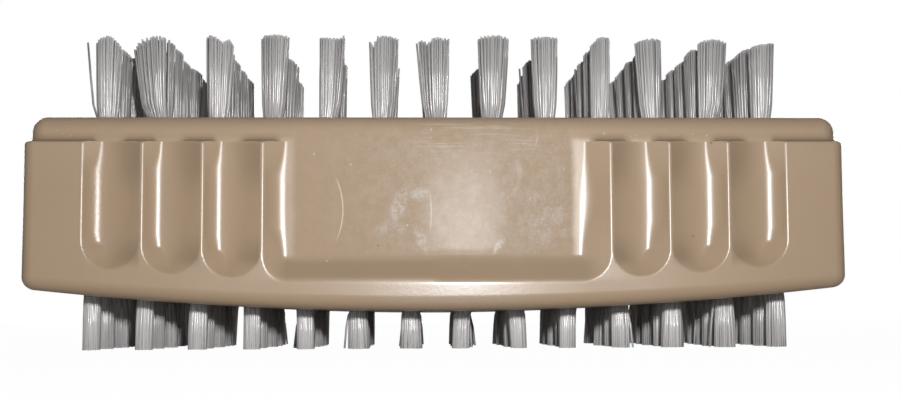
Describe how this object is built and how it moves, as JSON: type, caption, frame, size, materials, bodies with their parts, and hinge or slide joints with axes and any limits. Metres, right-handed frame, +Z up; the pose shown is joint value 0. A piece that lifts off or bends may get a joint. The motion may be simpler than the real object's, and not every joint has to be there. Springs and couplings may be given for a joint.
{
  "type": "double-sided nail brush",
  "caption": "Double-sided nail brush: a moulded block with finger flutes and a thumb recess on both sides, long tufts on top and short flat-trimmed tufts below.",
  "frame": {"origin": "middle of the footprint, in the plane of the trimmed tips of the lower tufts, which the brush stands on", "axes": "+X along the block's length, +Y across its width towards the back, +Z up towards the long tufts"},
  "size_m": [0.095, 0.044, 0.0381],
  "materials": {
    "handle_plastic": "moulded, glossy, lightly scuffed",
    "bristle_nylon": "drawn nylon filament, satin",
    "anchor_wire": "rolled flat wire"
  },
  "bodies": {
    "root": {"handle_block": "handle_plastic", "upper_tufts_row_1": "bristle_nylon", "upper_tufts_row_2": "bristle_nylon", "upper_tufts_row_3": "bristle_nylon", "upper_tufts_row_4": "bristle_nylon", "upper_tufts_row_5": "bristle_nylon", "lower_tufts_row_1": "bristle_nylon", "lower_tufts_row_2": "bristle_nylon", "lower_tufts_row_3": "bristle_nylon", "lower_tufts_row_4": "bristle_nylon", "lower_tufts_row_5": "bristle_nylon", "upper_anchors_row_1": "anchor_wire", "upper_anchors_row_2": "anchor_wire", "upper_anchors_row_3": "anchor_wire", "upper_anchors_row_4": "anchor_wire", "upper_anchors_row_5": "anchor_wire", "lower_anchors_row_1": "anchor_wire", "lower_anchors_row_2": "anchor_wire", "lower_anchors_row_3": "anchor_wire", "lower_anchors_row_4": "anchor_wire", "lower_anchors_row_5": "anchor_wire"}
  },
  "joints": []
}
